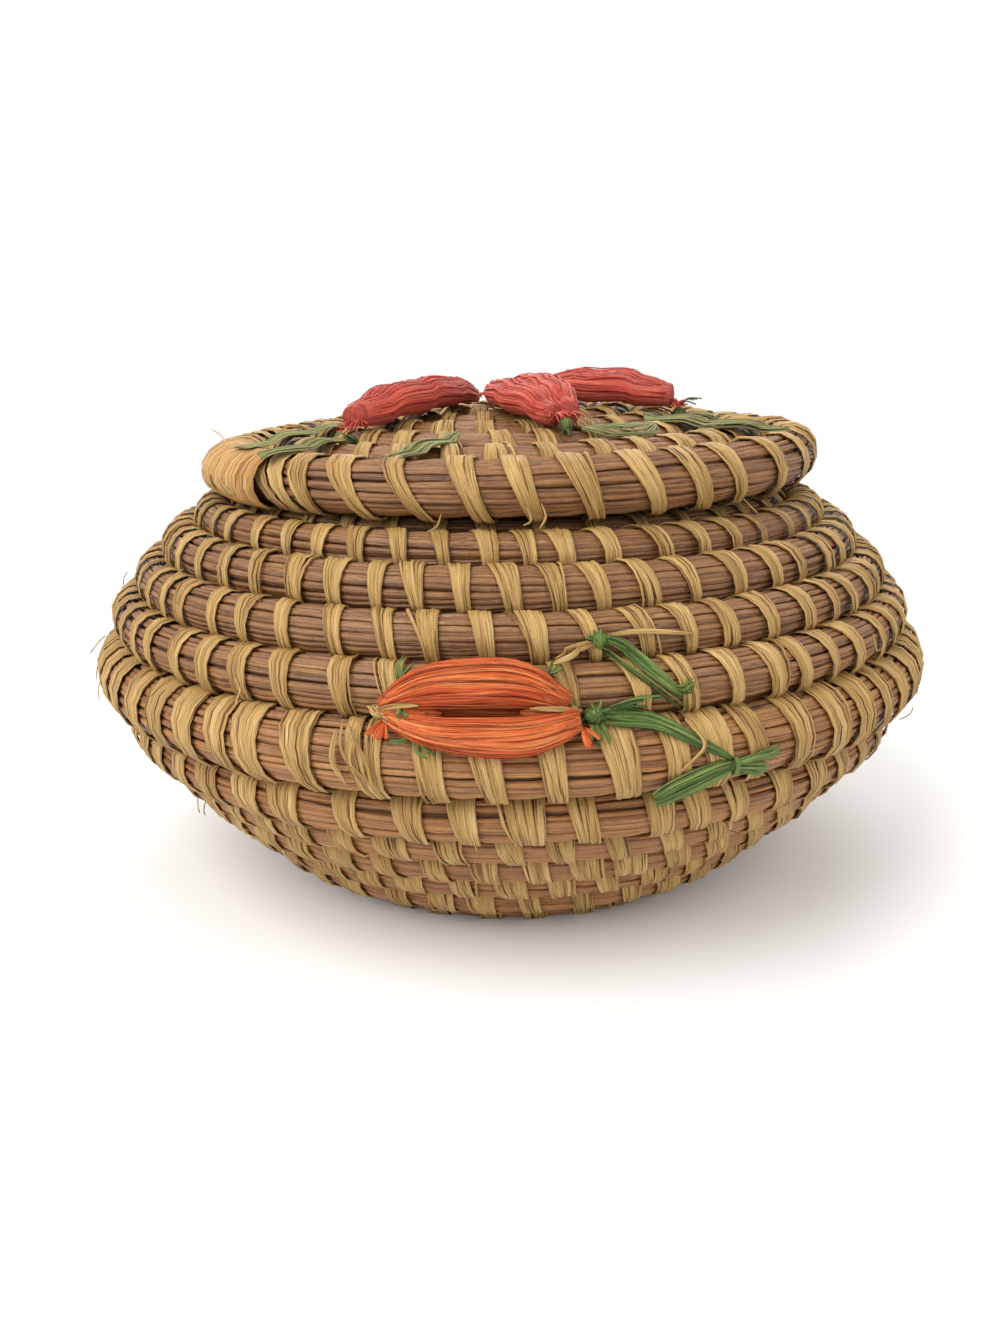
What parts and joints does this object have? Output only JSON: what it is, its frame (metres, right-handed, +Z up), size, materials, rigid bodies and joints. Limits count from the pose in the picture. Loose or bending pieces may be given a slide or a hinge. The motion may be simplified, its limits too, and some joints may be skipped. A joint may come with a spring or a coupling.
{
  "type": "coiled lidded basket",
  "caption": "Round lidded basket coiled from pine needles and stitched with raffia, with raffia flowers and leaves, and a lid that lifts off.",
  "frame": {"origin": "middle of the underside, on the start knot's flat face, where the basket stands on a surface", "axes": "+Z up along the way the lid lifts, -Y towards the front with the wall flower, +X to the right seen from the front"},
  "size_m": [0.151, 0.1517, 0.0888],
  "materials": {
    "pine_needle": "dry brown pine needles laid side by side, satin with a slight gloss",
    "raffia_natural": "natural tan raffia, fibrous with lengthwise ridges, satin",
    "raffia_orange": "raffia dyed orange, in folded lengthwise strips",
    "raffia_coral": "raffia dyed coral red, in folded lengthwise strips",
    "raffia_green": "raffia dyed green, split into fine strands"
  },
  "bodies": {
    "basket": {"base_coil": "pine_needle", "belly_coil": "pine_needle", "flower_knot": "raffia_green", "flower_knot_tail": "raffia_green", "flower_petal_lower": "raffia_orange", "flower_petal_upper": "raffia_orange", "flower_tie_left": "raffia_natural", "flower_tie_right": "raffia_natural", "leaf_lower": "raffia_green", "lower_wall_coil": "pine_needle", "neck_coil": "pine_needle", "sprig_knot": "raffia_green", "sprig_leaf": "raffia_green", "start_knot": "raffia_natural", "stem_long": "raffia_green", "stem_short": "raffia_green", "upper_wall_coil": "pine_needle"},
    "lid": {"lid_crown_coil": "pine_needle", "lid_flower_left_back": "raffia_coral", "lid_flower_left_front": "raffia_coral", "lid_flower_middle_back": "raffia_coral", "lid_flower_middle_front": "raffia_coral", "lid_flower_right_back": "raffia_coral", "lid_flower_right_front": "raffia_coral", "lid_knot_left": "raffia_green", "lid_knot_middle": "raffia_green", "lid_knot_right": "raffia_green", "lid_leaf_front": "raffia_green", "lid_leaf_lower_left": "raffia_green", "lid_leaf_right": "raffia_green", "lid_leaf_upper_left": "raffia_green", "lid_rim_coil": "pine_needle", "lid_seat_coil": "pine_needle", "lid_sprig": "raffia_green"}
  },
  "joints": [
    {"name": "lid_lift", "type": "slide", "parent": "basket", "child": "lid", "axis": [0, 0, 1], "range_m": [0, 0.12]}
  ]
}
